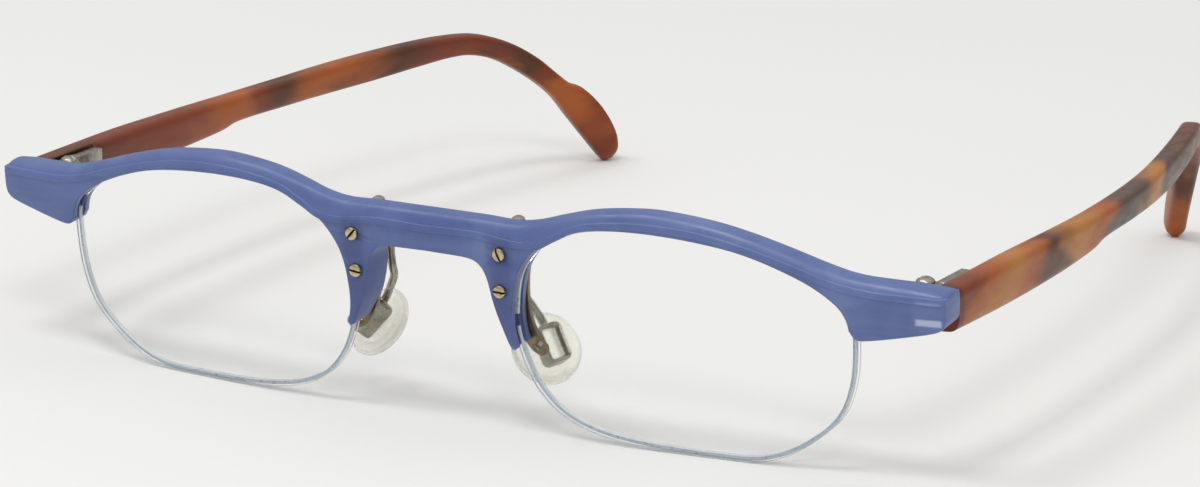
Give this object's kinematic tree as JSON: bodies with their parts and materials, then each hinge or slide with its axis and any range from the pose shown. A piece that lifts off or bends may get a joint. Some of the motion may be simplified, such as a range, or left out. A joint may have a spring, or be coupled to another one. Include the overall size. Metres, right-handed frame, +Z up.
{
  "type": "eyeglasses",
  "caption": "Half-rim eyeglasses with a blue front, clear lenses on nylon cords, adjustable nose pads and folding tortoise temples.",
  "frame": {"origin": "centre of the bounding box, on the table the glasses stand on", "axes": "+Z up, the front faces -Y, +X towards the wearer's left temple"},
  "size_m": [0.1426, 0.141, 0.0326],
  "materials": {
    "blue_plastic": "satin, slightly translucent",
    "tortoise_plastic": "satin tortoise pattern, amber and dark brown",
    "clear_lens": "clear, polished faces and ground edge",
    "nylon": "clear nylon",
    "clear_silicone": "clear, slightly yellow",
    "pale_brass": "pale, polished",
    "nickel_silver": "drawn and pressed nickel silver"
  },
  "bodies": {
    "front": {"front_frame": "blue_plastic", "lens_left": "clear_lens", "lens_liner_left": "nylon", "nylon_cord_left": "nylon", "bracket_plate_left": "nickel_silver", "bracket_screw_upper_left": "pale_brass", "bracket_screw_lower_left": "pale_brass", "arm_pin_left": "nickel_silver", "arm_nut_left": "nickel_silver", "pad_arm_left": "nickel_silver", "hinge_front_leaf_left": "nickel_silver", "hinge_screw_left": "nickel_silver", "lens_right": "clear_lens", "lens_liner_right": "nylon", "nylon_cord_right": "nylon", "bracket_plate_right": "nickel_silver", "bracket_screw_upper_right": "pale_brass", "bracket_screw_lower_right": "pale_brass", "arm_pin_right": "nickel_silver", "arm_nut_right": "nickel_silver", "pad_arm_right": "nickel_silver", "hinge_front_leaf_right": "nickel_silver", "hinge_screw_right": "nickel_silver"},
    "left_temple": {"temple_left": "tortoise_plastic", "temple_core_left": "nickel_silver", "hinge_temple_leaf_left": "nickel_silver"},
    "right_temple": {"temple_right": "tortoise_plastic", "temple_core_right": "nickel_silver", "hinge_temple_leaf_right": "nickel_silver"},
    "left_pad": {"nose_pad_left": "clear_silicone"},
    "right_pad": {"nose_pad_right": "clear_silicone"}
  },
  "joints": [
    {"name": "left_temple_fold", "type": "hinge", "parent": "front", "child": "left_temple", "pos_m": [0.0652, -0.05616, 0.0225], "axis": [0, 0, 1], "range_deg": [0, 82]},
    {"name": "right_temple_fold", "type": "hinge", "parent": "front", "child": "right_temple", "pos_m": [-0.0652, -0.05616, 0.0225], "axis": [0, 0, -1], "range_deg": [0, 70]},
    {"name": "left_pad_rock", "type": "hinge", "parent": "front", "child": "left_pad", "pos_m": [0.0135, -0.06053, 0.01072], "axis": [-0.5058, 0.1575, 0.8481], "range_deg": [-6, 6]},
    {"name": "right_pad_rock", "type": "hinge", "parent": "front", "child": "right_pad", "pos_m": [-0.0143, -0.06055, 0.01092], "axis": [0.5527, 0.3794, 0.742], "range_deg": [-6, 6]}
  ]
}
